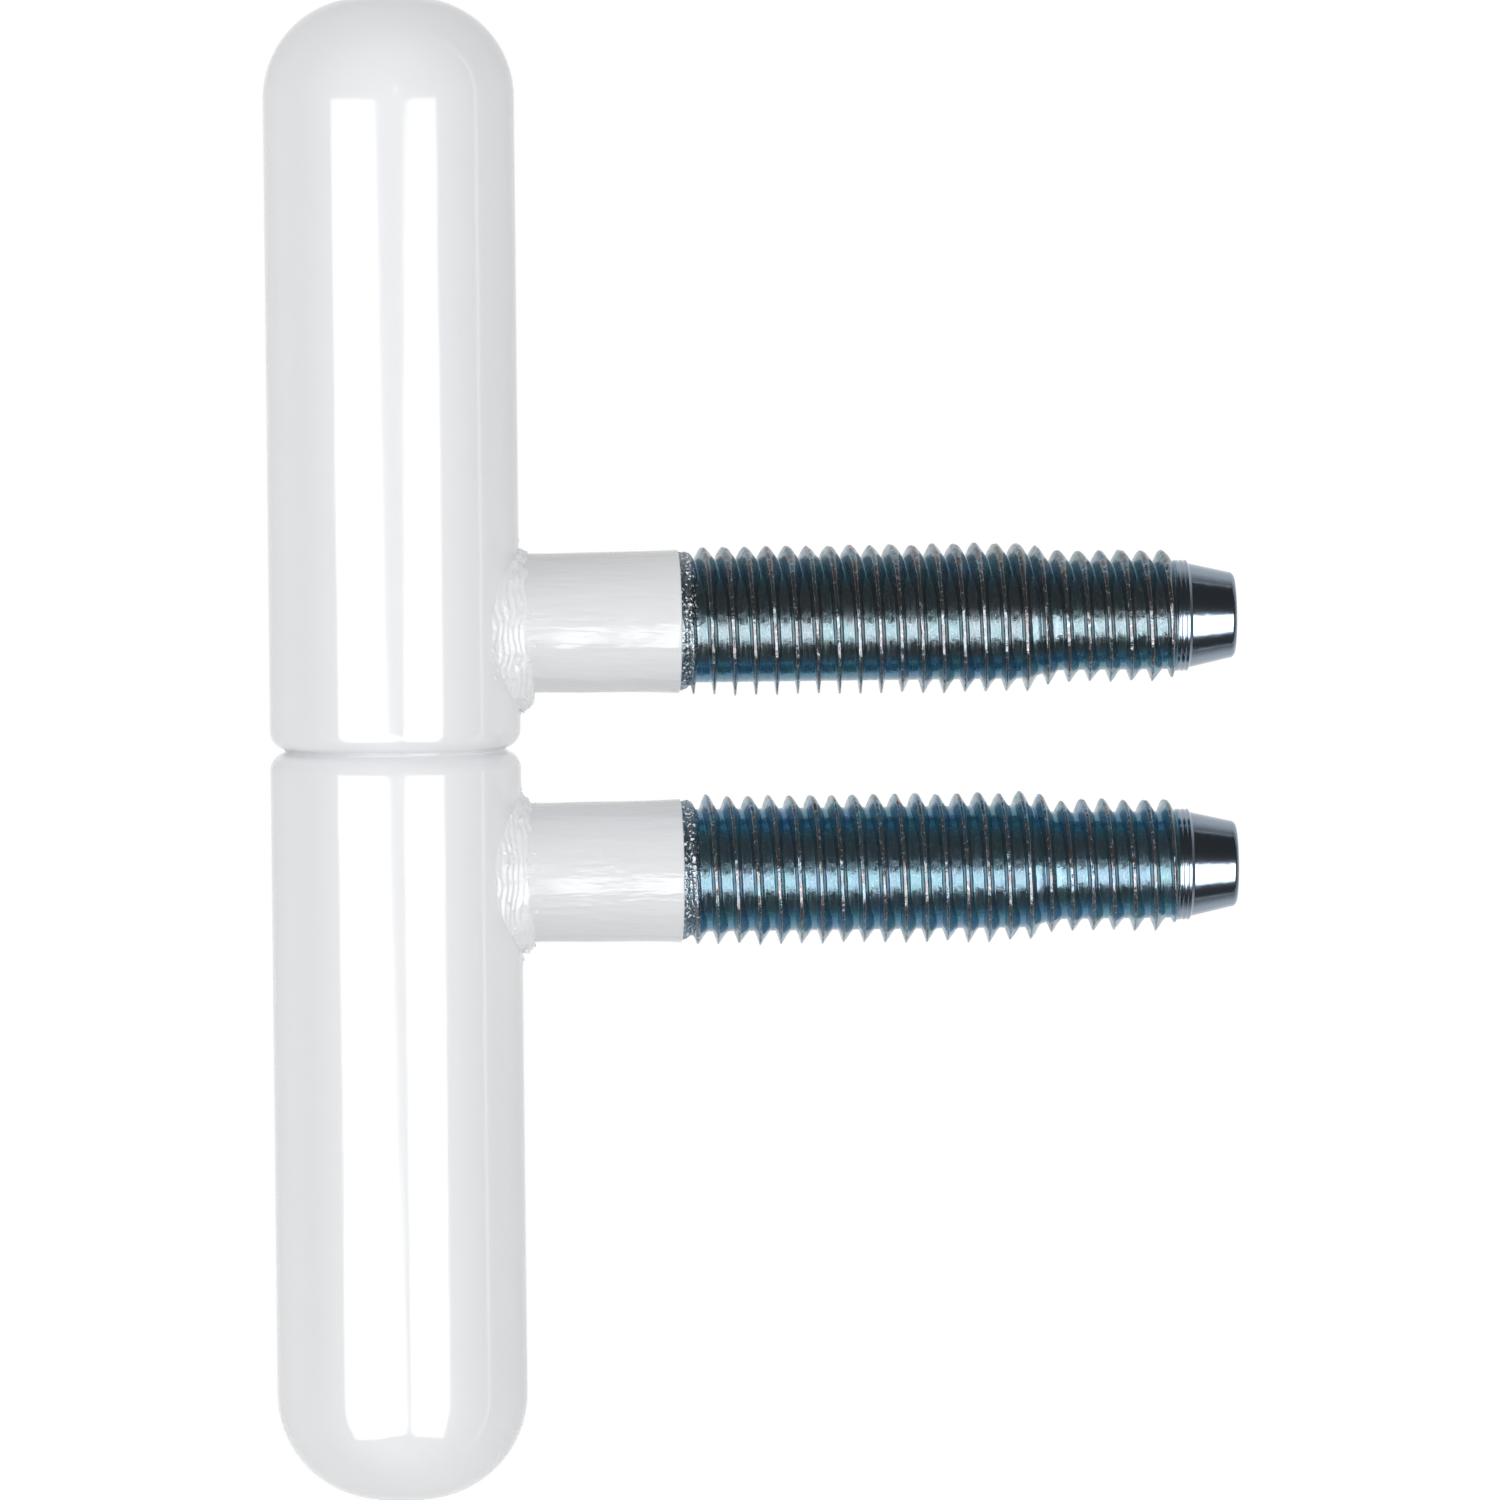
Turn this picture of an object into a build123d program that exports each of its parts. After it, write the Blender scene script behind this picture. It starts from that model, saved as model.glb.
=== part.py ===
from build123d import *
from math import atan2, degrees, radians, sqrt, tan
import os

# Two-part drill-in hinge: two round barrels on one pin, each with a screw-in stud welded to its side.
# Millimetres. +Z is the hinge axis, pointing up, and +X runs along the studs, away from the barrels.
# The origin is on the lower stud's axis, where its thread begins.

# Barrels
barrel_diameter = 15.0
barrel_length = 45.0
knuckle_radius = 3.7
crown_flattening = 1.1
joint_edge_radius = 1.0
joint_gap = 0.02

# Pin and the blind bores that it runs in
pin_diameter = 8.0
pin_running_clearance = 0.04
pin_end_chamfer = 0.8
pin_seat_clearance = 0.02
pin_end_play = 0.4
bore_depth = 30.0
bore_mouth_chamfer = 0.5
drill_point_angle = 118.0

# Studs, with lengths measured from the hinge axis
stud_to_joint = 7.45
shank_diameter = 8.5
thread_start = 17.0
thread_diameter = 8.9
thread_length = 21.0
step_length = 1.8
pilot_diameter = 7.84
pilot_length = 6.9
pilot_end_taper = 0.8
nose_base_diameter = 6.3
nose_tip_diameter = 5.0
nose_length = 2.8
nose_edge_chamfer = 0.25

# Weld collars, squeezed out between a stud and its barrel
collar_width = 0.65
collar_height = 0.8
collar_edge_chamfer = 0.5
upper_collar_sag = 0.3
lower_collar_sag = 0.1

# Places that follow from the sizes above
barrel_radius = barrel_diameter / 2
crown_radius = barrel_radius + crown_flattening
bore_radius = pin_diameter / 2 + pin_running_clearance
drill_point_slope = tan(radians(drill_point_angle / 2))
hinge_axis_x = -thread_start
lower_joint_z = stud_to_joint
upper_joint_z = lower_joint_z + joint_gap
lower_stud_z = 0.0
upper_stud_z = upper_joint_z + stud_to_joint
collar_radius = shank_diameter / 2 + collar_width


def domed_rod():
    """A rod on the Z axis whose top is a shallow spherical crown, with a knuckle arc tangent to both."""
    crown_z = barrel_length - crown_radius
    knuckle_r = barrel_radius - knuckle_radius
    knuckle_z = crown_z + sqrt((crown_radius - knuckle_radius) ** 2 - knuckle_r**2)
    blend_angle = degrees(atan2(knuckle_z - crown_z, knuckle_r))
    half_section = [
        Line((0, 0), (barrel_radius, 0)),
        Line((barrel_radius, 0), (barrel_radius, knuckle_z)),
        CenterArc((knuckle_r, knuckle_z), knuckle_radius, 0, blend_angle),
        CenterArc((0, crown_z), crown_radius, blend_angle, 90 - blend_angle),
        Line((0, barrel_length), (0, 0)),
    ]
    return revolve(Plane.XZ * make_face(half_section), Axis.Z)


def barrel():
    """A barrel on the Z axis, with its joint face at z = 0 and its domed end up."""
    body = fillet(domed_rod().edges().filter_by(GeomType.CIRCLE).sort_by(Axis.Z)[0], joint_edge_radius)
    point_height = bore_radius / drill_point_slope
    drill = Cylinder(bore_radius, bore_depth, align=(Align.CENTER, Align.CENTER, Align.MIN))
    drill += Pos(0, 0, bore_depth) * Cone(
        bore_radius, 0, point_height, align=(Align.CENTER, Align.CENTER, Align.MIN)
    )
    body -= drill
    mouth = body.edges().filter_by(GeomType.CIRCLE).group_by(Axis.Z)[0].sort_by(SortBy.RADIUS)[0]
    return chamfer(mouth, bore_mouth_chamfer)


def hinge_pin():
    """The loose pin, standing where its end meets the drill point of the lower bore."""
    end_radius = pin_diameter / 2 - pin_end_chamfer
    seat_depth = bore_depth + (bore_radius - end_radius) / drill_point_slope
    foot_z = lower_joint_z - seat_depth + pin_seat_clearance
    length = upper_joint_z + seat_depth - pin_end_play - foot_z
    pin = Cylinder(pin_diameter / 2, length, align=(Align.CENTER, Align.CENTER, Align.MIN))
    pin = chamfer(pin.edges().filter_by(GeomType.CIRCLE), pin_end_chamfer)
    return Pos(hinge_axis_x, 0, foot_z) * pin


def stud():
    """A stud on the X axis, with the hinge axis at x = 0: shank, thread, pilot thread and nose."""
    thread_end = thread_start + thread_length
    pilot_start = thread_end + step_length
    pilot_end = pilot_start + pilot_length
    nose_start = pilot_end + pilot_end_taper
    tip = nose_start + nose_length
    outline = Polyline(
        (0, 0),
        (0, shank_diameter / 2),
        (thread_start, shank_diameter / 2),
        (thread_start, thread_diameter / 2),
        (thread_end, thread_diameter / 2),
        (pilot_start, pilot_diameter / 2),
        (pilot_end, pilot_diameter / 2),
        (nose_start, nose_base_diameter / 2),
        (tip, nose_tip_diameter / 2),
        (tip, 0),
        close=True,
    )
    rod = revolve(make_face(outline), Axis.X)
    rim = rod.edges().filter_by(GeomType.CIRCLE).sort_by(Axis.X)[-1]
    return chamfer(rim, nose_edge_chamfer) - welded_surface()


def welded_surface():
    """The round side of a barrel, which the stud's end and the weld collar are shaped to."""
    return Cylinder(barrel_radius, barrel_length)


def weld_collar(sag):
    """The sloping ring of weld metal round a stud's root, hanging lower than the stud by sag."""
    height = barrel_radius + collar_height
    ring = Cylinder(
        collar_radius,
        height,
        rotation=(0, 90, 0),
        align=(Align.CENTER, Align.CENTER, Align.MIN),
    )
    rim = ring.edges().filter_by(GeomType.CIRCLE).sort_by(Axis.X)[-1]
    ring = Pos(0, 0, -sag) * chamfer(rim, collar_edge_chamfer)
    root = Cylinder(shank_diameter / 2, 2 * height, rotation=(0, 90, 0))
    return ring - root - welded_surface()


def place_half(part, stud_z):
    """Moves a piece modelled round its stud's root to its place on the hinge."""
    return Pos(hinge_axis_x, 0, stud_z) * part


pieces = {
    "lower_barrel": Pos(hinge_axis_x, 0, lower_joint_z) * Rot(180, 0, 0) * barrel(),
    "lower_stud": place_half(stud(), lower_stud_z),
    "lower_weld_collar": place_half(weld_collar(lower_collar_sag), lower_stud_z),
    "hinge_pin": hinge_pin(),
    "upper_barrel": Pos(hinge_axis_x, 0, upper_joint_z) * barrel(),
    "upper_stud": place_half(stud(), upper_stud_z),
    "upper_weld_collar": place_half(weld_collar(upper_collar_sag), upper_stud_z),
}

os.makedirs("parts", exist_ok=True)
for name, piece in pieces.items():
    export_step(piece, f"parts/{name}.step")
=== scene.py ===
import math
import bpy
import numpy as np
from mathutils import Matrix, Vector


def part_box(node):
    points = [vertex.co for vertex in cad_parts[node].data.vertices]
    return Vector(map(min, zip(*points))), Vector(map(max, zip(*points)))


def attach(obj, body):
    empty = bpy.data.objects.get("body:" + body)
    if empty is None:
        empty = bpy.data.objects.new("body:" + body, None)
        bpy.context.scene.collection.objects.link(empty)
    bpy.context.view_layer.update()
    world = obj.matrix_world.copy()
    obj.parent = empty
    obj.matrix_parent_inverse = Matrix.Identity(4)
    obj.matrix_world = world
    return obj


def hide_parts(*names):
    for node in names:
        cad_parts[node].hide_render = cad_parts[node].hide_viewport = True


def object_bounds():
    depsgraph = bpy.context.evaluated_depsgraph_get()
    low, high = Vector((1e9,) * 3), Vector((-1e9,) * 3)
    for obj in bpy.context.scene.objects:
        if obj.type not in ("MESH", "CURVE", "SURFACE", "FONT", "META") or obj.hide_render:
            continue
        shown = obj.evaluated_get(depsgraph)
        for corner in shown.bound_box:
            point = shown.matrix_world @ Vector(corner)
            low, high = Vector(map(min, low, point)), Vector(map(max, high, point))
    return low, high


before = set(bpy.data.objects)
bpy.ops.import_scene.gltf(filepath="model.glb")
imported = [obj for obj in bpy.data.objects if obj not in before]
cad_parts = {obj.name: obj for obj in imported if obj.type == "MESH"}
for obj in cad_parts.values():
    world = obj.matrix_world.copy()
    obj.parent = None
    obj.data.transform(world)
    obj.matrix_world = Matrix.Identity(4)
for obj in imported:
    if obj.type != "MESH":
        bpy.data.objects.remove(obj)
cadBox = [list(corner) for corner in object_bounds()]
print("frame loaded")

mm = 0.001  # every size below is in millimetres, the scene is in metres
margin = 0.005  # the barrels' round sides stay this far inside the solids

# Places read from the frame, in millimetres
lowerBox = [np.array(corner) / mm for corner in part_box("lower_barrel")]
upperBox = [np.array(corner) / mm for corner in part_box("upper_barrel")]
studBox = [np.array(corner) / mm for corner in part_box("lower_stud")]
pinBox = [np.array(corner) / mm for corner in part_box("hinge_pin")]
hingeX = (pinBox[0][0] + pinBox[1][0]) / 2
pinRadius = (pinBox[1][0] - pinBox[0][0]) / 2
barrelRadius = hingeX - upperBox[0][0] - margin
lowerJointZ = lowerBox[1][2]
upperJointZ = upperBox[0][2]
lowerStudZ = (studBox[0][2] + studBox[1][2]) / 2
upperStudZ = lowerJointZ + upperJointZ - lowerStudZ
studTip = studBox[1][0]


# Camera: a long lens a little left of the hinge and a little above it
camera = {
    "aim": (4.2, 0.0, 7.17),
    "azimuth": -3.3,
    "elevation": 3.0,
    "roll": 0.55,
    "distance": 780.0,
    "viewWidth": 89.7,
    "sensor": 36.0,
    "clipNear": 10.0,
    "clipFar": 20000.0,
}


def makeCamera(c):
    data = bpy.data.cameras.new("camera")
    data.sensor_width = c["sensor"]
    data.lens = c["sensor"] * c["distance"] / c["viewWidth"]
    data.clip_start = c["clipNear"] * mm
    data.clip_end = c["clipFar"] * mm
    obj = bpy.data.objects.new("camera", data)
    bpy.context.scene.collection.objects.link(obj)
    a, e = math.radians(c["azimuth"]), math.radians(c["elevation"])
    back = Vector((math.sin(a) * math.cos(e), -math.cos(a) * math.cos(e), math.sin(e)))
    roll = Matrix.Rotation(math.radians(-c["roll"]), 3, "Z")
    turn = back.to_track_quat("Z", "Y").to_matrix() @ roll
    spot = Vector(c["aim"]) * mm + back * c["distance"] * mm
    obj.matrix_world = Matrix.Translation(spot) @ turn.to_4x4()
    bpy.context.scene.camera = obj


makeCamera(camera)


# Colours and material nodes
def srgb(hexText):
    # sRGB hex to linear: divide by 12.92 near black, otherwise raise to the power 2.4
    parts = [int(hexText[i : i + 2], 16) / 255 for i in (1, 3, 5)]
    return tuple(p / 12.92 if p <= 0.04045 else ((p + 0.055) / 1.055) ** 2.4 for p in parts) + (1.0,)


def addNode(tree, kind, settings=None, **links):
    # one node with its settings and its inputs, by number (i0) or name: a value is set, a socket is linked
    node = tree.nodes.new(kind)
    for key, value in (settings or {}).items():
        setattr(node, key, value)
    for key, value in links.items():
        byNumber = key[0] == "i" and key[1:].isdigit()
        socket = node.inputs[int(key[1:]) if byNumber else key.replace("_", " ")]
        if isinstance(value, bpy.types.NodeSocket):
            tree.links.new(value, socket)
        else:
            socket.default_value = value
    return node


def newMaterial(name):
    mat = bpy.data.materials.new(name)
    mat.use_nodes = True
    tree = mat.node_tree
    tree.nodes.clear()
    shader = addNode(tree, "ShaderNodeBsdfPrincipled")
    addNode(tree, "ShaderNodeOutputMaterial", i0=shader.outputs[0])
    return mat, tree, shader


def waves(size, across=None, along="x"):
    # waves per metre on X, Y and Z for a pattern of that size along one axis, and of another size across it
    return [1 / ((size if across is None or axis == along else across) * mm) for axis in "xyz"]


def stretchedNoise(tree, scales, detail, roughness=0.5):
    # noise in object space with its own fineness on X, Y and Z, given as waves per metre
    place = addNode(tree, "ShaderNodeTexCoord").outputs["Object"]
    grid = addNode(tree, "ShaderNodeMapping", {"vector_type": "POINT"}, Vector=place, Scale=scales).outputs[0]
    return addNode(tree, "ShaderNodeTexNoise", Vector=grid, Scale=1.0, Detail=detail, Roughness=roughness)


def addBump(tree, pattern, depth, below=None):
    # depth in millimetres, on top of the bump below
    bump = addNode(tree, "ShaderNodeBump", Height=pattern.outputs[0], Strength=1.0, Distance=depth * mm)
    if below is not None:
        tree.links.new(below.outputs[0], bump.inputs["Normal"])
    return bump


colourMix = {"data_type": "RGBA"}
product = {"operation": "MULTIPLY"}
greater = {"operation": "MAXIMUM"}


# Surfaces as grids of points, worked out as whole arrays
def skin(name, rings, startPole, endPole, materials, ringMaterial=None, values=None):
    # rings is an array of closed rings (ring, point, xyz), joined in order. Two poles shut the ends, and
    # without them the last ring joins the first
    count, perRing = rings.shape[:2]
    points = rings.reshape(-1, 3)
    here = np.arange(count * perRing).reshape(count, perRing)
    last = count if startPole is None else count - 1
    up = np.roll(here, -1, axis=0)[:last]
    low = here[:last]
    quads = np.stack([low, np.roll(low, -1, 1), np.roll(up, -1, 1), up], axis=-1).reshape(-1, 4)
    faces = quads.tolist()
    owner = np.repeat(np.arange(last), perRing).tolist()
    if startPole is not None:
        points = np.vstack([points, startPole, endPole])
        first, final = count * perRing, count * perRing + 1
        faces += np.stack([np.full(perRing, first), np.roll(here[0], -1), here[0]], axis=-1).tolist()
        faces += np.stack([here[-1], np.roll(here[-1], -1), np.full(perRing, final)], axis=-1).tolist()
        owner += [0] * perRing + [count - 1] * perRing
    mesh = bpy.data.meshes.new(name)
    mesh.from_pydata((points * mm).tolist(), [], faces)
    mesh.update()
    if signedVolume(mesh) < 0:
        mesh.flip_normals()
    mesh.polygons.foreach_set("use_smooth", np.ones(len(mesh.polygons), bool))
    for mat in materials:
        mesh.materials.append(mat)
    if ringMaterial is not None:
        mesh.polygons.foreach_set("material_index", np.array(ringMaterial, np.int32)[owner])
    for key, field in (values or {}).items():
        flat = np.ravel(field)
        if startPole is not None:
            flat = np.append(flat, [flat[0], flat[-1]])
        mesh.attributes.new(key, "FLOAT", "POINT").data.foreach_set("value", flat.astype(np.float32))
    obj = bpy.data.objects.new(name, mesh)
    bpy.context.scene.collection.objects.link(obj)
    return obj


def signedVolume(mesh):
    # sum over the triangles of a dot (b cross c) over 6, positive when the faces point outwards
    mesh.calc_loop_triangles()
    corners = np.zeros(len(mesh.loop_triangles) * 3, np.int32)
    mesh.loop_triangles.foreach_get("vertices", corners)
    places = np.zeros(len(mesh.vertices) * 3, np.float32)
    mesh.vertices.foreach_get("co", places)
    tri = places.reshape(-1, 3).astype(float)[corners.reshape(-1, 3)]
    return np.einsum("ij,ij->i", tri[:, 0], np.cross(tri[:, 1], tri[:, 2])).sum() / 6


def arc(centre, radius, fromDegrees, toDegrees, count):
    # points (distance from the axis, height) round a centre
    t = np.radians(np.linspace(fromDegrees, toDegrees, count))
    return np.stack([centre[0] + radius * np.cos(t), centre[1] + radius * np.sin(t)], axis=-1)


def line(start, end, count):
    # evenly spaced points from start up to, and without, end
    t = np.arange(count)[:, None] / count
    return np.array(start) * (1 - t) + np.array(end) * t


waviness = {"terms": 24, "slowest": 0.75, "fastest": 1.3}


def unevenness(points, seed, wavelength):
    # smooth field between about -1 and 1 at points in space: a sum of sine waves of about that length, each
    # in its own direction with its own phase, both from the seed
    w = waviness
    rng = np.random.default_rng(seed)
    ways = rng.normal(0, 1, (w["terms"], 3))
    lengths = np.linalg.norm(ways, axis=1)[:, None]
    ways *= 2 * np.pi / wavelength * rng.uniform(w["slowest"], w["fastest"], (w["terms"], 1)) / lengths
    phases = rng.uniform(0, 2 * np.pi, w["terms"])
    return sum(np.sin(points @ way + phase) for way, phase in zip(ways, phases)) / math.sqrt(w["terms"])


def ease(x, low, high):
    # 0 below low, 1 above high, smooth between
    t = np.clip((x - low) / (high - low), 0, 1)
    return t * t * (3 - 2 * t)


# White powder coat: glossy, with a shallow orange peel and faint lines of the drawn steel below it,
# which make the edges of a reflection swim. The lines are drawn coarser than real, so that they show
coat = {
    "colour": "#e8e9eb",
    "shade": "#e4e6e9",
    "shadeWaves": (90, 90, 60),
    "roughness": 0.1,
    "ior": 1.5,
    "peelLength": 5.0,
    "peelWidth": 1.0,
    "peelDepth": 0.004,
    "lineLength": 2.2,
    "lineWidth": 0.25,
    "lineDepth": 0.0006,
    "grainSpacing": 0.3,
    "grainDepth": 0.0007,
}
# On the shanks it lies over rougher steel, which gives their reflections ragged edges, and its colour and
# shade there are a little darker than on the barrels: painted shade, the same coat made darker on the
# shanks. Over the welds it follows fine spatter
shankCoatWithPaintedShade = dict(coat, colour="#e0e1e3", shade="#dcdee1", grainDepth=0.0028)
shankCoatWithPaintedShade.update(lineLength=2.6, lineWidth=0.42, lineDepth=0.066)
weldCoat = dict(coat, grainDepth=0.056)


def whiteCoat(name, c, along):
    # along is the axis that the steel was drawn along
    mat, tree, shader = newMaterial(name)
    tint = stretchedNoise(tree, c["shadeWaves"], 2).outputs[0]
    colour = addNode(tree, "ShaderNodeMix", colourMix, i0=tint, i6=srgb(c["colour"]), i7=srgb(c["shade"]))
    tree.links.new(colour.outputs[2], shader.inputs["Base Color"])
    orangePeel = stretchedNoise(tree, waves(c["peelLength"], c["peelWidth"], along), 1)
    drawnLines = stretchedNoise(tree, waves(c["lineLength"], c["lineWidth"], along), 2)
    grain = stretchedNoise(tree, waves(c["grainSpacing"]), 2)
    normal = addBump(tree, orangePeel, c["peelDepth"])
    normal = addBump(tree, drawnLines, c["lineDepth"], normal)
    normal = addBump(tree, grain, c["grainDepth"], normal)
    tree.links.new(normal.outputs[0], shader.inputs["Normal"])
    shader.inputs["Roughness"].default_value = c["roughness"]
    shader.inputs["IOR"].default_value = c["ior"]
    return mat


# Bright steel: ground on the pin, bored in the barrels. Fine turning lines round both stretch a highlight
# along the axis
steel = {"colour": "#a9a7a3", "roughness": 0.3, "lineSpacing": 0.08, "lineLength": 25.0, "lineDepth": 0.0015}


def bareSteel(name, c):
    mat, tree, shader = newMaterial(name)
    turned = stretchedNoise(tree, waves(c["lineSpacing"], c["lineLength"], "z"), 2)
    normal = addBump(tree, turned, c["lineDepth"])
    tree.links.new(normal.outputs[0], shader.inputs["Normal"])
    shader.inputs["Base Color"].default_value = srgb(c["colour"])
    shader.inputs["Metallic"].default_value = 1.0
    shader.inputs["Roughness"].default_value = c["roughness"]
    return mat


# Blue passivated zinc over rolled steel: a thin film tints it from grey through teal to blue, rolling lines
# run round the stud in dull and bright streaks, the crests of the thread are rubbed grey here and there,
# and the metal is torn in grains, which are dotted with near-white painted highlights. Lines, pits and
# grains are drawn coarser than real, so that they show
zinc = {
    "grey": "#6b7377",
    "greyTeal": "#64757a",
    "teal": "#4c8494",
    "blue": "#457a9d",
    "patchWaves": (900, 350, 350),
    "patchLevel": {"From_Min": 0.38, "From_Max": 0.62},
    "crest": "#6b6768",
    "crestLevel": {"From_Min": 0.5, "From_Max": 0.9},
    "wearSpacing": 0.8,
    "wearLevel": {"From_Min": 0.42, "From_Max": 0.58, "To_Min": 0.2},
    "torn": "#7c848b",
    "paintedGlint": "#eef2f4",
    "paintedGlintLevel": {"From_Min": 0.6, "From_Max": 0.66, "To_Max": 1.8},
    "lineSpacing": 0.16,
    "lineLength": 2.0,
    "lineDepth": 0.002,
    "lineDullness": {"From_Min": 0.35, "From_Max": 0.65, "To_Min": 0.1, "To_Max": 0.28},
    "pitSpacing": 0.25,
    "pitDepth": 0.014,
    "speckleSpacing": 0.2,
    "speckleDepth": 0.16,
    "fineness": 0.6,
    "metalUnderFilmAndPaintedReflection": {"To_Min": 0.9, "To_Max": 0.7},
}


def blueZinc(name, c):
    # the thread's own fields say how thick the film is, where a crest is and where the metal is torn. The
    # film
    # field also carries painted reflection: bluer, lighter bands at the top and bottom of each stud
    mat, tree, shader = newMaterial(name)
    filmAndPaintedReflection = addNode(tree, "ShaderNodeAttribute", {"attribute_name": "filmAndPaintedReflection"}).outputs["Fac"]
    crest = addNode(tree, "ShaderNodeAttribute", {"attribute_name": "crest"}).outputs["Fac"]
    speckle = addNode(tree, "ShaderNodeAttribute", {"attribute_name": "speckle"}).outputs["Fac"]

    patches = stretchedNoise(tree, c["patchWaves"], 3).outputs[0]
    patchy = addNode(tree, "ShaderNodeMapRange", Value=patches, **c["patchLevel"]).outputs[0]
    thin = addNode(tree, "ShaderNodeMix", colourMix, i0=patchy, i6=srgb(c["grey"]), i7=srgb(c["greyTeal"]))
    thickFilmAndPaintedReflection = addNode(tree, "ShaderNodeMix", colourMix, i0=patchy, i6=srgb(c["blue"]), i7=srgb(c["teal"]))
    mix = addNode(tree, "ShaderNodeMix", colourMix, i0=filmAndPaintedReflection, i6=thin.outputs[2], i7=thickFilmAndPaintedReflection.outputs[2])

    crests = addNode(tree, "ShaderNodeMapRange", Value=crest, **c["crestLevel"]).outputs[0]
    rubbed = stretchedNoise(tree, waves(c["wearSpacing"]), 2).outputs[0]
    rubbed = addNode(tree, "ShaderNodeMapRange", Value=rubbed, **c["wearLevel"]).outputs[0]
    worn = addNode(tree, "ShaderNodeMath", product, i0=crests, i1=rubbed).outputs[0]
    mix = addNode(tree, "ShaderNodeMix", colourMix, i0=worn, i6=mix.outputs[2], i7=srgb(c["crest"]))
    mix = addNode(tree, "ShaderNodeMix", colourMix, i0=speckle, i6=mix.outputs[2], i7=srgb(c["torn"]))

    # painted highlights: near-white dots, with no metal, where the metal is torn, standing in for grains that
    # catch the light
    paintedGlintNoise = stretchedNoise(tree, waves(c["speckleSpacing"]), 1).outputs[0]
    paintedGlintNoise = addNode(tree, "ShaderNodeMapRange", Value=paintedGlintNoise, **c["paintedGlintLevel"]).outputs[0]
    paintedGlints = addNode(tree, "ShaderNodeMath", product, i0=paintedGlintNoise, i1=speckle).outputs[0]
    mix = addNode(tree, "ShaderNodeMix", colourMix, i0=paintedGlints, i6=mix.outputs[2], i7=srgb(c["paintedGlint"]))
    tree.links.new(mix.outputs[2], shader.inputs["Base Color"])

    rolled = stretchedNoise(tree, waves(c["lineSpacing"], c["lineLength"], "x"), 3)
    pits = stretchedNoise(tree, waves(c["pitSpacing"]), 3, c["fineness"])
    grains = stretchedNoise(tree, waves(c["speckleSpacing"]), 2, c["fineness"])
    dull = addNode(tree, "ShaderNodeMapRange", Value=rolled.outputs[0], **c["lineDullness"])
    tree.links.new(dull.outputs[0], shader.inputs["Roughness"])
    normal = addBump(tree, rolled, c["lineDepth"])
    normal = addBump(tree, pits, c["pitDepth"], normal)
    normal = addBump(tree, grains, c["speckleDepth"], normal)
    tree.links.new(speckle, normal.inputs["Strength"])
    tree.links.new(normal.outputs[0], shader.inputs["Normal"])

    # the film scatters a little light, the more the thicker it is, which lightens the painted reflection
    # bands at the top and bottom, and a painted highlight dot scatters all of it
    metal = addNode(tree, "ShaderNodeMapRange", Value=filmAndPaintedReflection, **c["metalUnderFilmAndPaintedReflection"]).outputs[0]
    metal = addNode(tree, "ShaderNodeMix", i0=paintedGlints, i2=metal, i3=0.0)
    tree.links.new(metal.outputs[0], shader.inputs["Metallic"])
    return mat


# The stud's nose is drawn smooth under the same zinc, so it mirrors, with small dents
nose = {
    "colour": "#8794a2",
    "roughness": 0.17,
    "dentSpacing": 0.5,
    "dentDepth": 0.008,
    "grainSpacing": 0.15,
    "grainDepth": 0.002,
}


def smoothZinc(name, c):
    mat, tree, shader = newMaterial(name)
    dents = stretchedNoise(tree, waves(c["dentSpacing"]), 2)
    grain = stretchedNoise(tree, waves(c["grainSpacing"]), 2)
    normal = addBump(tree, dents, c["dentDepth"])
    normal = addBump(tree, grain, c["grainDepth"], normal)
    tree.links.new(normal.outputs[0], shader.inputs["Normal"])
    shader.inputs["Base Color"].default_value = srgb(c["colour"])
    shader.inputs["Metallic"].default_value = 1.0
    shader.inputs["Roughness"].default_value = c["roughness"]
    return mat


barrelPaint = whiteCoat("glossyWhitePowderCoatOnBarrel", coat, "z")
shankPaintWithPaintedShade = whiteCoat("glossyWhitePowderCoatOnShank", shankCoatWithPaintedShade, "x")
weldPaint = whiteCoat("glossyWhitePowderCoatOverWeld", weldCoat, "x")
turnedSteel = bareSteel("boredAndGroundSteel", steel)
passivated = blueZinc("bluePassivatedRolledZinc", zinc)
smoothNose = smoothZinc("bluePassivatedSmoothZinc", nose)
print("materials made")


# Barrels: one profile turned round the hinge axis, from the drill point inside to the crown outside
barrel = {
    "upperKnuckle": 6.0,
    "lowerKnuckle": 6.35,
    "crownHalfAngle": 12.0,
    "crownEnd": 89.8,
    "jointEdgeRadius": 1.15,
    "jointEdgeTurn": 64.0,
    "jointLand": 0.045,
    "boreClearance": 0.04,
    "boreDepth": 30.0,
    "mouthChamfer": 0.5,
    "drillHalfAngle": 59.0,
    "drillTip": 0.02,
    "around": 256,
    "along": 150,
    "boreRows": 30,
    "arcRows": 24,
    "edgeRows": 16,
    "unevenness": 0.005,
    "sunk": 1.5,
    "swell": 7.0,
    "swellStretch": 0.35,
    "evenWall": 2.0,
    "evenTop": 4.0,
}


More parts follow.
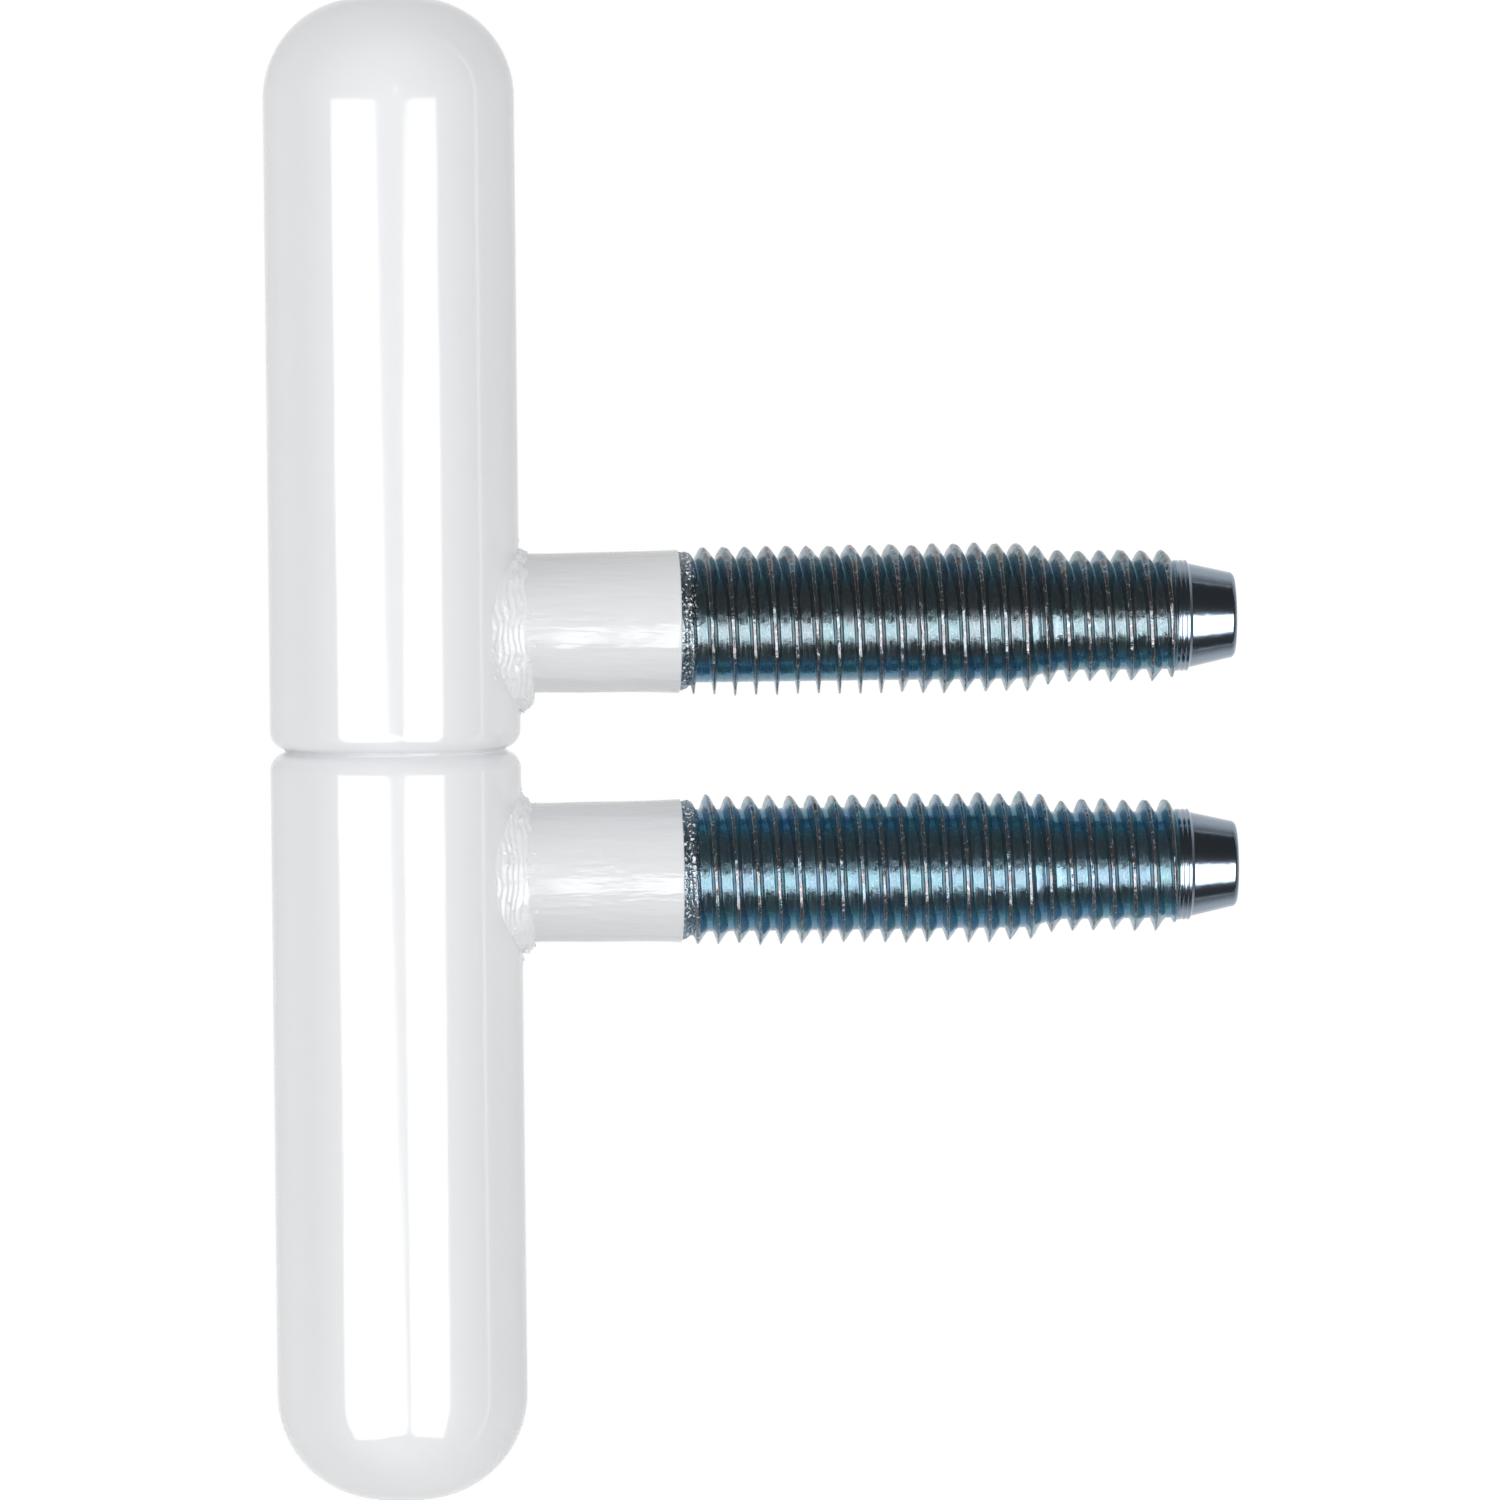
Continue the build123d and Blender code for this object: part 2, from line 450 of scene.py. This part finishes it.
def barrelProfile(b, length, knuckle):
    # (distance from the axis, height above the joint face), and the material of each ring
    radius, edge, land, mouth = barrelRadius, b["jointEdgeRadius"], b["jointLand"], b["mouthChamfer"]
    bore = pinRadius + b["boreClearance"]
    blend = 90 - b["crownHalfAngle"]
    crown = (radius - knuckle) / math.cos(math.radians(blend)) + knuckle
    crownZ = length - crown
    knuckleZ = crownZ + (crown - knuckle) * math.sin(math.radians(blend))
    point = b["boreDepth"] + bore / math.tan(math.radians(b["drillHalfAngle"]))
    # the joint edge is an arc that ends in a short slope down to a narrow land at the joint face
    turn = math.radians(b["jointEdgeTurn"])
    slopeTop = land + edge * (1 - math.sin(turn))
    slopeR = radius - edge * (1 - math.cos(turn))
    faceRim = slopeR - (slopeTop - land) * math.tan(turn)
    inside = [
        line((b["drillTip"], point - b["drillTip"] / 2), (bore, b["boreDepth"]), 6),
        line((bore, b["boreDepth"]), (bore, mouth), b["boreRows"]),
        line((bore, mouth), (bore + mouth, 0), 4),
    ]
    outside = [
        line((bore + mouth, 0), (faceRim, 0), 6),
        line((faceRim, 0), (faceRim, land), 3),
        line((faceRim, land), (slopeR, slopeTop), 5),
        arc((radius - edge, edge + land), edge, -b["jointEdgeTurn"], 0, b["edgeRows"]),
        line((radius, edge + land), (radius, knuckleZ), b["along"])[1:],
        arc((radius - knuckle, knuckleZ), knuckle, 0, blend, b["arcRows"]),
        arc((0, crownZ), crown, blend, b["crownEnd"], b["arcRows"])[1:],
    ]
    rings = np.vstack(inside + outside)
    bare = sum(len(s) for s in inside)
    return rings, point, [1] * bare + [0] * (len(rings) - bare)


def makeBarrel(name, jointZ, farZ, knuckle, seed, body):
    # the outside is a little uneven, which fades out towards the bore and the top of the crown
    b = barrel
    length = abs(farZ - jointZ)
    way = math.copysign(1, farZ - jointZ)
    profile, point, ringMaterial = barrelProfile(b, length, knuckle)
    t = np.linspace(0, 2 * np.pi, b["around"], endpoint=False)
    radius, height = profile[:, :1], profile[:, 1:]
    outer = np.clip((radius - barrelRadius + b["evenWall"]) / b["evenWall"], 0, 1)
    outer = outer * np.clip((length - height) / b["evenTop"], 0, 1)
    base = np.stack([radius * np.cos(t), radius * np.sin(t), height + 0 * t], axis=-1)
    uneven = unevenness(base * (1, 1, b["swellStretch"]), seed, b["swell"])
    spread = radius - (b["sunk"] + uneven) * b["unevenness"] * outer
    places = [hingeX + spread * np.cos(t), spread * np.sin(t), jointZ + way * height + 0 * spread]
    start = (hingeX, 0, jointZ + way * point)
    materials = [barrelPaint, turnedSteel]
    obj = skin(name, np.stack(places, axis=-1), start, (hingeX, 0, farZ), materials, ringMaterial)
    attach(obj, body)
    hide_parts(name.replace("Barrel", "_barrel"))


makeBarrel("lowerBarrel", lowerJointZ, lowerBox[0][2], barrel["lowerKnuckle"], 11, "frame_half")
makeBarrel("upperBarrel", upperJointZ, upperBox[1][2], barrel["upperKnuckle"], 23, "leaf_half")
print("barrels made")


# Pin: a ground rod with chamfered ends
pin = {"chamfer": 0.8, "edge": 0.05, "along": 60, "around": 128}


def makePin(p):
    radius, c, e = pinRadius, p["chamfer"], p["edge"]
    low, high = pinBox[0][2], pinBox[1][2]
    profile = np.vstack([
        line((e, low), (radius - c, low), 5),
        line((radius - c, low), (radius - e, low + c - e), 4),
        line((radius - e, low + c - e), (radius, low + c), 2),
        line((radius, low + c), (radius, high - c), p["along"]),
        line((radius, high - c), (radius - e, high - c + e), 2),
        line((radius - e, high - c + e), (radius - c, high), 4),
        line((radius - c, high), (e, high), 5),
    ])
    t = np.linspace(0, 2 * np.pi, p["around"], endpoint=False)
    r, z = profile[:, :1], profile[:, 1:]
    rings = np.stack([hingeX + r * np.cos(t), r * np.sin(t), z + 0 * r * t], axis=-1)
    obj = skin("hingePin", rings, (hingeX, 0, low), (hingeX, 0, high), [turnedSteel])
    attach(obj, "pin")
    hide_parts("hinge_pin")


makePin(pin)
print("pin made")


# Shanks: the coated plain part of a stud, from inside the barrel to where the thread begins
shank = {
    "radius": 4.19,
    "sunk": 3.0,
    "neck": 0.04,
    "neckPlace": 1.6,
    "neckWidth": 1.6,
    "flare": 0.1,
    "flareLength": 1.6,
    "edgeRounding": 0.12,
    "edgeTurns": (20, 45, 70, 90),
    "capEnd": 0.05,
    "capRings": 8,
    "around": 192,
    "along": 110,
    "unevenness": 0.012,
    "swell": 3.5,
    "swellStretch": 0.4,
    "evenEnd": 2.0,
}


def shankRadius(x):
    # the shank narrows a little beside the weld and flares out towards its thread
    s = shank
    neck = s["neck"] * np.exp(-(((x - hingeX - barrelRadius - s["neckPlace"]) / s["neckWidth"]) ** 2))
    return s["radius"] - neck + s["flare"] * np.exp(np.minimum(x, 0) / s["flareLength"])


def makeShank(name, studZ, seed, body, node):
    s = shank
    startX = hingeX + barrelRadius - s["sunk"]
    e, turns = s["edgeRounding"], np.radians(s["edgeTurns"])
    x = np.append(np.linspace(startX, -e, s["along"]), -e + e * np.sin(turns))
    fall = np.append(np.zeros(s["along"]), e * (1 - np.cos(turns)))
    base = shankRadius(x) - fall
    x = x[:, None]
    t = np.linspace(0, 2 * np.pi, s["around"], endpoint=False)
    spots = np.stack([x + 0 * t, s["radius"] * np.cos(t) + 0 * x, s["radius"] * np.sin(t) + 0 * x], axis=-1)
    uneven = unevenness(spots * (s["swellStretch"], 1, 1), seed, s["swell"])
    r = base[:, None] + s["unevenness"] * uneven * np.clip(-x / s["evenEnd"], 0, 1)
    cap = np.linspace(1, s["capEnd"], s["capRings"])[1:, None]
    r = np.vstack([r, cap * r[-1]])
    x = np.vstack([x, 0 * cap])
    rings = np.stack([x + 0 * r, r * np.cos(t), studZ + r * np.sin(t)], axis=-1)
    obj = skin(name, rings, (startX, 0, studZ), (0, 0, studZ), [shankPaintWithPaintedShade])
    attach(obj, body)
    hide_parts(node)


makeShank("lowerShank", lowerStudZ, 31, "frame_half", "lower_stud")
makeShank("upperShank", upperStudZ, 37, "leaf_half", "upper_stud")
print("shanks made")


# Threads: a right-hand helix of ridges over a wide floor, in two diameters, then a plain ring and the nose.
# The rolling was uneven round the stud, so a ridge has other proportions at the front, top and bottom. Each
# row of four gives, in pitches, half the flat crest, the left foot and the right foot, and then how round a
# flank is
thread = {
    "pitch": 1.25,
    "start": -0.4,
    "floor": 3.66,
    "top": 4.42,
    "stepStart": 20.6,
    "stepEnd": 22.7,
    "pilotFloor": 3.2,
    "pilotTop": 3.9,
    "end": 29.3,
    "fade": 0.6,
    "front": (0.08, 0.2, 0.27, 1.0),
    "roundTop": (0.03, 0.42, 0.57, 1.6),
    "openTop": (0.04, 0.32, 0.46, 1.25),
    "bottom": (0.03, 0.26, 0.5, 0.8),
    "fin": (0.04, 0.13, 0.12, 1.0),
    "finsEnd": (11.0, 16.0),
    "shapeZone": (0.35, 0.9),
    "paintedReflectionZone": (0.45, 0.75),
    "flankMix": (0.7, 0.3),
    "topVaries": 0.35,
    "topBeat": 2.3,
    "firstRise": (-0.2, 1.1),
    "startRise": 0.46,
    "startLength": 1.0,
    "crestUneven": 0.085,
    "crestSwell": 3.0,
    "nicks": 0.02,
    "nickSpacing": 0.45,
    "nickShare": (0.15, 0.85),
    "roughStart": 0.035,
    "roughSpacing": 0.3,
    "roughFade": (0.66, 1.1),
    "startSpeckle": 0.5,
    "speckle": 0.03,
    "crestSpeckle": 0.09,
    "fieldRadius": 4.0,
    "ringStart": 29.7,
    "ringBlend": (-0.2, 0.1),
    "ringRadius": 3.32,
    "grooves": (29.98, 30.26),
    "grooveWidth": 0.06,
    "grooveDepth": 0.05,
    "noseStart": 30.5,
    "noseBlend": (-0.1, 0.05),
    "noseRadius": 3.13,
    "noseRows": 24,
    "tipRadius": 2.5,
    "tipRounding": 0.35,
    "tipTurns": (15, 30, 45, 60, 75, 90),
    "capEnd": 0.04,
    "capRings": 7,
    "around": 144,
    "rowsPerPitch": 26,
    "rowChange": (0.1, 0.2),
}
# What differs between the two: where a crest passes the top, the shape there, whether it has thin fins
# below, how sharply the wear follows the crest, how thick the film is at the front, and how strong the
# painted reflection is at the top
lowerRolling = {
    "crestAtTop": 1.56,
    "topShape": "openTop",
    "finned": 0.0,
    "wear": 2.8,
    "filmFront": 0.3,
    "paintedReflectionTop": 1.0,
    "seed": 41,
}
upperRolling = {
    "crestAtTop": 1.47,
    "topShape": "roundTop",
    "finned": 1.0,
    "wear": 1.3,
    "filmFront": 0.05,
    "paintedReflectionTop": 0.5,
    "seed": 43,
}


def makeThread(name, studZ, own, body, node):
    # radius = floor(x) + height(x) * ridge(turn), where turn counts pitches along the helix, whole at a crest
    h, seed = thread, own["seed"]
    fineEnd, coarseStart = [h["noseStart"] + d for d in h["rowChange"]]
    rows = int(round((fineEnd - h["start"]) / h["pitch"] * h["rowsPerPitch"]))
    x = np.linspace(h["start"], fineEnd, rows)
    x = np.append(x, np.linspace(coarseStart, studTip - h["tipRounding"], h["noseRows"]))[:, None]
    t = np.linspace(0, 2 * np.pi, h["around"], endpoint=False)[None, :]
    turn = (x - own["crestAtTop"]) / h["pitch"] - (t - np.pi / 2) / (2 * np.pi)
    side = (turn + 0.5) % 1 - 0.5

    # the ridge's proportions at each point, blended from the four shapes
    atTop, atBottom = ease(np.sin(t), *h["shapeZone"]), ease(-np.sin(t), *h["shapeZone"])
    fins = own["finned"] * (1 - ease(x, *h["finsEnd"]))
    parts = [atTop + 0 * x, atBottom * (1 - fins), atBottom * fins, 1 - atTop - atBottom + 0 * x]
    shapes = [h[own["topShape"]], h["bottom"], h["fin"], h["front"]]
    flat, left, right, roundness = [sum(w * s[i] for w, s in zip(parts, shapes)) for i in range(4)]
    foot = np.where(side < 0, left, right)
    fall = np.clip((np.abs(side) - flat) / (foot - flat), 0, 1)
    roundness = roundness + h["topVaries"] * atTop * np.sin(h["topBeat"] * np.floor(turn + 0.5) + seed)
    plain, eased = h["flankMix"]
    ridge = plain * (1 - fall**roundness) + eased * (1 - fall * fall * (3 - 2 * fall))

    # floor and height along the stud
    step = ease(x, h["stepStart"], h["stepEnd"])
    floor = h["floor"] * (1 - step) + h["pilotFloor"] * step
    top = h["top"] * (1 - step) + h["pilotTop"] * step
    radius = h["fieldRadius"]
    spots = np.stack([x + 0 * t, radius * np.cos(t) + 0 * x, radius * np.sin(t) + 0 * x], axis=-1)
    early = 1 - ease(x, *h["roughFade"])
    floor = floor + h["startRise"] * (1 - ease(x, 0.0, h["startLength"]))
    height = (top - floor) * (1 + h["crestUneven"] * unevenness(spots, seed, h["crestSwell"]))
    height = height * (1 - ease(x, h["end"], h["end"] + h["fade"])) * ease(x, *h["firstRise"])
    onFloor, onRidge = h["nickShare"]
    nicks = h["nicks"] * unevenness(spots, seed + 1, h["nickSpacing"]) * (onFloor + onRidge * ridge)
    r = floor + height * ridge + nicks
    r = r + h["roughStart"] * unevenness(spots, seed + 2, h["roughSpacing"]) * early

    # plain ring with two fine grooves, then the nose
    slope = (h["tipRadius"] - h["noseRadius"]) / (studTip - h["noseStart"])
    cone = h["noseRadius"] + slope * (x - h["noseStart"])
    grooves = sum(np.exp(-(((x - g) / h["grooveWidth"]) ** 2)) for g in h["grooves"])
    ring = h["ringRadius"] - h["grooveDepth"] * grooves
    onRing = ease(x, *[h["ringStart"] + d for d in h["ringBlend"]])
    onCone = ease(x, *[h["noseStart"] + d for d in h["noseBlend"]])
    r = r * (1 - onRing) + (ring * (1 - onCone) + cone * onCone) * onRing

    # fields for the material
    crest = ridge ** own["wear"] * (1 - onRing)
    # the film turns bluer towards the top and bottom of the stud: painted reflection, the tint and light
    # those sides reflect
    upwards, downwards = ease(np.sin(t), *h["paintedReflectionZone"]), ease(-np.sin(t), *h["paintedReflectionZone"])
    filmAndPaintedReflection = own["filmFront"] + (1 - own["filmFront"]) * (downwards + own["paintedReflectionTop"] * upwards) + 0 * x
    early = h["startSpeckle"] * early
    speckle = early + (1 - early) * (h["speckle"] + h["crestSpeckle"] * ridge**3)

    # rounded tip and flat end
    e, turns = h["tipRounding"], np.radians(h["tipTurns"])[:, None]
    cap = np.linspace(1, h["capEnd"], h["capRings"])[1:, None]
    tipR = r[-1:] - e * (1 - np.cos(turns))
    x = np.vstack([x, studTip - e + e * np.sin(turns), np.full(cap.shape, studTip)])
    r = np.vstack([r, tipR, cap * tipR[-1]])
    extra = np.zeros((len(x) - len(crest), h["around"]))
    fields = {"crest": crest, "filmAndPaintedReflection": filmAndPaintedReflection, "speckle": speckle}
    fields = {key: np.vstack([field, extra]) for key, field in fields.items()}
    rings = np.stack([x + 0 * r, r * np.cos(t), studZ + r * np.sin(t)], axis=-1)
    ringMaterial = (x[:, 0] > h["ringStart"]).astype(int)
    start, end = (h["start"], 0, studZ), (studTip, 0, studZ)
    obj = skin(name, rings, start, end, [passivated, smoothNose], ringMaterial, fields)
    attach(obj, body)
    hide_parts(node)


makeThread("lowerThread", lowerStudZ, lowerRolling, "frame_half", "lower_stud")
makeThread("upperThread", upperStudZ, upperRolling, "leaf_half", "upper_stud")
print("threads made")


# Weld collars: metal that ran out between barrel and shank. It fills the corner in a hollow curve at the
# sides, slopes straight at the top and hangs in a bead below, with ripples and spatter under the coat.
# Sizes for the top, the sides and the bottom: how far it spreads over the barrel, how far along the shank,
# and its bulge, from -1 hollow to 1 full
collar = {
    "lower": {"spread": (0.7, 0.85, 0.62), "reach": (0.62, 1.7, 0.72), "bulge": (0.0, -0.75, 0.8)},
    "upper": {"spread": (0.36, 0.85, 1.08), "reach": (0.5, 1.7, 0.86), "bulge": (0.0, -0.75, 0.9)},
    "overlap": 0.02,
    "sunk": 1.0,
    "under": 0.03,
    "skirt": 0.8,
    "around": 420,
    "across": 44,
    "skirtRows": 14,
    "backRows": 10,
    "rippleSpacing": 0.36,
    "rippleWander": 2.5,
    "wanderSpacing": 2.2,
    "ripple": 0.045,
    "lumps": 0.06,
    "lumpSpacing": 1.1,
    "spatter": 0.25,
    "spatterSpacing": 0.5,
    "spatterLevel": 1.2,
    "smoothBelow": 0.6,
    "slant": 0.7,
    "endShare": 3,
}


def bend(start, corner, end, t):
    # quadratic curve from start to end, pulled towards the corner
    return start * (1 - t) ** 2 + 2 * t * (1 - t) * corner + end * t**2


def makeCollar(name, studZ, sizes, seed, body, node):
    # each section is a curve from the barrel's side to the shank with one control point, which moves from
    # the corner between them (hollow) to the far corner (full). A thin skirt beyond both ends carries the
    # spatter
    c = collar
    u = np.linspace(0, 2 * np.pi, c["around"], endpoint=False)[:, None]
    atTop, atBottom = np.maximum(np.sin(u), 0) ** 2, np.maximum(-np.sin(u), 0) ** 2
    weights = [atTop, 1 - atTop - atBottom, atBottom]
    spread, reach, bulge = [
        sum(w * s for w, s in zip(weights, sizes[key])) for key in ("spread", "reach", "bulge")
    ]
    v = np.linspace(0, 1, c["across"])[None, :]
    inner = shank["radius"] - c["overlap"]
    foot = inner + spread
    rho = bend(foot, (foot + inner) / 2 + bulge * spread / 2, inner, v)
    lift = bend(0, reach / 2 + bulge * reach / 2, reach, v)

    # rho is the distance from the stud's axis, lift is the distance from the barrel's side
    w = np.linspace(1, 0, c["skirtRows"] + 1)[None, :-1]
    rho = np.hstack([foot + c["skirt"] * w, rho, inner + 0 * w * foot])
    lift = np.hstack([0 * w * foot, lift, reach + c["skirt"] * w[:, ::-1]])
    n = c["endShare"]
    onMetal = np.hstack([0 * w, np.sqrt(np.sin(np.pi * v)), 0 * w]) * (1 - c["smoothBelow"] * atBottom)
    onBarrel = np.hstack([1 + 0 * w, np.clip(1 - v * n, 0, 1), 0 * w])
    onShank = np.hstack([0 * w, np.clip(v * n - n + 1, 0, 1), 1 + 0 * w])
    nearby = np.hstack([1 - w**2, 1 + 0 * v, 1 - w[:, ::-1] ** 2])

    # ripples follow the shank's direction and wander, spatter stands out as single beads
    side = np.sqrt(np.maximum(barrelRadius**2 - (rho * np.cos(u)) ** 2, 0))
    place = np.stack([side + lift, rho * np.cos(u), rho * np.sin(u)], axis=-1)
    wander = c["rippleWander"] * unevenness(place, seed, c["wanderSpacing"])
    ripples = np.sin(2 * np.pi * place[..., 0] / c["rippleSpacing"] + wander)
    lumps = c["lumps"] * unevenness(place, seed + 1, c["lumpSpacing"])
    beads = np.clip(unevenness(place, seed + 2, c["spatterSpacing"]) - c["spatterLevel"], 0, 1)
    rough = (c["ripple"] * ripples + lumps) * onMetal + c["spatter"] * beads * nearby
    toShank = shankRadius(hingeX + side + lift) - shank["radius"]
    rho = rho + c["slant"] * rough + onShank * (toShank - c["under"])
    lift = lift + c["slant"] * rough - onBarrel * c["under"]
    side = np.sqrt(np.maximum(barrelRadius**2 - (rho * np.cos(u)) ** 2, 0))

    # the hidden back bends round a corner that lies inside both the barrel and the shank
    b = np.linspace(0, 1, c["backRows"])[None, 1:-1]
    backRho = bend(rho[:, -1:], inner - c["sunk"], rho[:, :1], b)
    backSide = np.sqrt(np.maximum(barrelRadius**2 - (backRho * np.cos(u)) ** 2, 0))
    backX = backSide + bend(lift[:, -1:], -c["sunk"], lift[:, :1], b)
    x = hingeX + np.hstack([side + lift, backX])
    rho = np.hstack([rho, backRho])
    rings = np.stack([x, rho * np.cos(u), studZ + rho * np.sin(u)], axis=-1)
    obj = skin(name, rings, None, None, [weldPaint])
    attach(obj, body)
    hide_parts(node)


makeCollar("lowerWeldCollar", lowerStudZ, collar["lower"], 51, "frame_half", "lower_weld_collar")
makeCollar("upperWeldCollar", upperStudZ, collar["upper"], 53, "leaf_half", "upper_weld_collar")
print("weld collars made")


# Studio: a pale floor well below the hinge, soft lamps, and sheets that only reflections see. A lamp is
# given by azimuth (0 is the camera's side, 90 is +X), elevation and power, and a sheet by a row of azimuth,
# lowest and highest elevation from left to right
studio = {
    "middleZ": 7.5,
    "floorDrop": 120.0,
    "floorRadius": 450.0,
    "floorPoints": 128,
    "floorColour": "#e4e4e3",
    "floorRoughness": 0.8,
    "ambient": 0.34,
    "lampDistance": 700.0,
    "lampSize": 400.0,
    "lamps": {
        "frontLamp": (-3, 6, 2.3),
        "leftLamp": (-55, 6, 0.62),
        "rightLamp": (50, 6, 1.0),
        "lowLamp": (-85, -62, 0.95),
        "highLamp": (-85, 62, 0.8),
        "backLamp": (180, 8, 1.9),
    },
    "panelDistance": 4000.0,
    "panelLight": 5.6,
    "leftPanel": [
        (-56, -41, 2), (-17, -41, 2), (-10, -40, -2), (-2, -39, -5.5), (2.3, -36, -5.5), (2.35, -29.5, -12),
        (3.2, -29.5, -12),
    ],
    "rightPanel": [
        (3.22, 7.0, 12.5), (5.85, 7.0, 12.5), (5.9, -30, -3), (12, -41, 0), (21, -41, 2), (43, -41, 2),
    ],
    "edgeLight": 2.2,
    "rightEdge": [(84, -70, 70), (87, -70, 70)],
    "tentDistance": 5000.0,
    "tent": [(a, -89, 89) for a in range(-180, 181, 10)],
    "tentFront": 0.07,
    "tentBack": 1.0,
    "tentRamp": {"From_Min": -0.08, "From_Max": 0.45},
}


def makeFloor(s):
    mat, tree, shader = newMaterial("paleFloor")
    shader.inputs["Base Color"].default_value = srgb(s["floorColour"])
    shader.inputs["Roughness"].default_value = s["floorRoughness"]
    radius, z = s["floorRadius"], cadBox[0][2] / mm - s["floorDrop"]
    t = np.linspace(0, 2 * np.pi, s["floorPoints"], endpoint=False)
    rim = np.stack([radius * np.cos(t), radius * np.sin(t), z + 0 * t], axis=-1)
    mesh = bpy.data.meshes.new("floor")
    mesh.from_pydata((rim * mm).tolist(), [], [tuple(range(len(rim)))])
    mesh.materials.append(mat)
    floor = bpy.data.objects.new("floor", mesh)
    bpy.context.scene.collection.objects.link(floor)
    # it stays out of reflections, and lets the low lamp's light through
    floor.visible_glossy = False
    floor.visible_shadow = False


def makeWorld(s):
    # white where the camera, a reflection or a transparent ray looks, and a dimmer white as light
    world = bpy.data.worlds.new("studio")
    bpy.context.scene.world = world
    world.use_nodes = True
    tree = world.node_tree
    tree.nodes.clear()
    rays = addNode(tree, "ShaderNodeLightPath").outputs
    seen = addNode(tree, "ShaderNodeMath", greater, i0=rays["Is Camera Ray"], i1=rays["Is Glossy Ray"])
    seen = addNode(tree, "ShaderNodeMath", greater, i0=seen.outputs[0], i1=rays["Is Transmission Ray"])
    level = addNode(tree, "ShaderNodeMapRange", Value=seen.outputs[0], To_Min=s["ambient"], To_Max=1.0)
    light = addNode(tree, "ShaderNodeBackground", Color=(1, 1, 1, 1), Strength=level.outputs[0])
    addNode(tree, "ShaderNodeOutputWorld", i0=light.outputs[0])


def around(azimuth, elevation, distance):
    # a point seen from the hinge at that azimuth and elevation
    a, e = math.radians(azimuth), math.radians(elevation)
    across, up = distance * math.cos(e), distance * math.sin(e)
    return (hingeX + across * math.sin(a), -across * math.cos(a), up + studio["middleZ"])


def sheetOfLight(name, edges, level, distance, rows=8, ramp=None):
    # a sheet that only reflections see. Its level is one strength, or with a ramp a pair for the front and
    # the back of the room
    mat = bpy.data.materials.new(name)
    mat.use_nodes = True
    tree = mat.node_tree
    tree.nodes.clear()
    glow = addNode(tree, "ShaderNodeEmission", Color=(1, 1, 1, 1))
    if ramp is None:
        glow.inputs["Strength"].default_value = level
    else:
        place = addNode(tree, "ShaderNodeTexCoord").outputs["Object"]
        way = addNode(tree, "ShaderNodeVectorMath", {"operation": "NORMALIZE"}, i0=place).outputs[0]
        depth = addNode(tree, "ShaderNodeSeparateXYZ", i0=way).outputs["Y"]
        fade = addNode(tree, "ShaderNodeMapRange", Value=depth, To_Min=level[0], To_Max=level[1], **ramp)
        tree.links.new(fade.outputs[0], glow.inputs["Strength"])
    addNode(tree, "ShaderNodeOutputMaterial", i0=glow.outputs[0])
    n = rows + 1
    points = [around(a, e, distance) for a, low, high in edges for e in np.linspace(low, high, n)]
    faces = [
        (n * i + j, n * i + j + n, n * i + j + n + 1, n * i + j + 1)
        for i in range(len(edges) - 1) for j in range(rows)
    ]
    mesh = bpy.data.meshes.new(name)
    mesh.from_pydata((np.array(points) * mm).tolist(), [], faces)
    mesh.materials.append(mat)
    obj = bpy.data.objects.new(name, mesh)
    bpy.context.scene.collection.objects.link(obj)
    for kind in ("camera", "diffuse", "shadow", "transmission"):
        setattr(obj, "visible_" + kind, False)


def makeLamp(name, azimuth, elevation, power):
    data = bpy.data.lights.new(name, "AREA")
    data.shape = "DISK"
    data.size = studio["lampSize"] * mm
    data.energy = power
    obj = bpy.data.objects.new(name, data)
    bpy.context.scene.collection.objects.link(obj)
    spot = Vector(around(azimuth, elevation, studio["lampDistance"])) * mm
    obj.location = spot
    obj.rotation_euler = (spot - Vector((0, 0, studio["middleZ"] * mm))).to_track_quat("Z", "Y").to_euler()
    obj.visible_glossy = False
    obj.visible_camera = False


makeFloor(studio)
makeWorld(studio)
for lampName, (lampAzimuth, lampElevation, lampPower) in studio["lamps"].items():
    makeLamp(lampName, lampAzimuth, lampElevation, lampPower)
sheetOfLight("leftPanel", studio["leftPanel"], studio["panelLight"], studio["panelDistance"])
sheetOfLight("rightPanel", studio["rightPanel"], studio["panelLight"], studio["panelDistance"])
sheetOfLight("rightEdge", studio["rightEdge"], studio["edgeLight"], studio["panelDistance"])
tentLevels = (studio["tentFront"], studio["tentBack"])
sheetOfLight("tent", studio["tent"], tentLevels, studio["tentDistance"], 24, studio["tentRamp"])
print("studio made")

bpy.context.scene.view_settings.view_transform = "Standard"
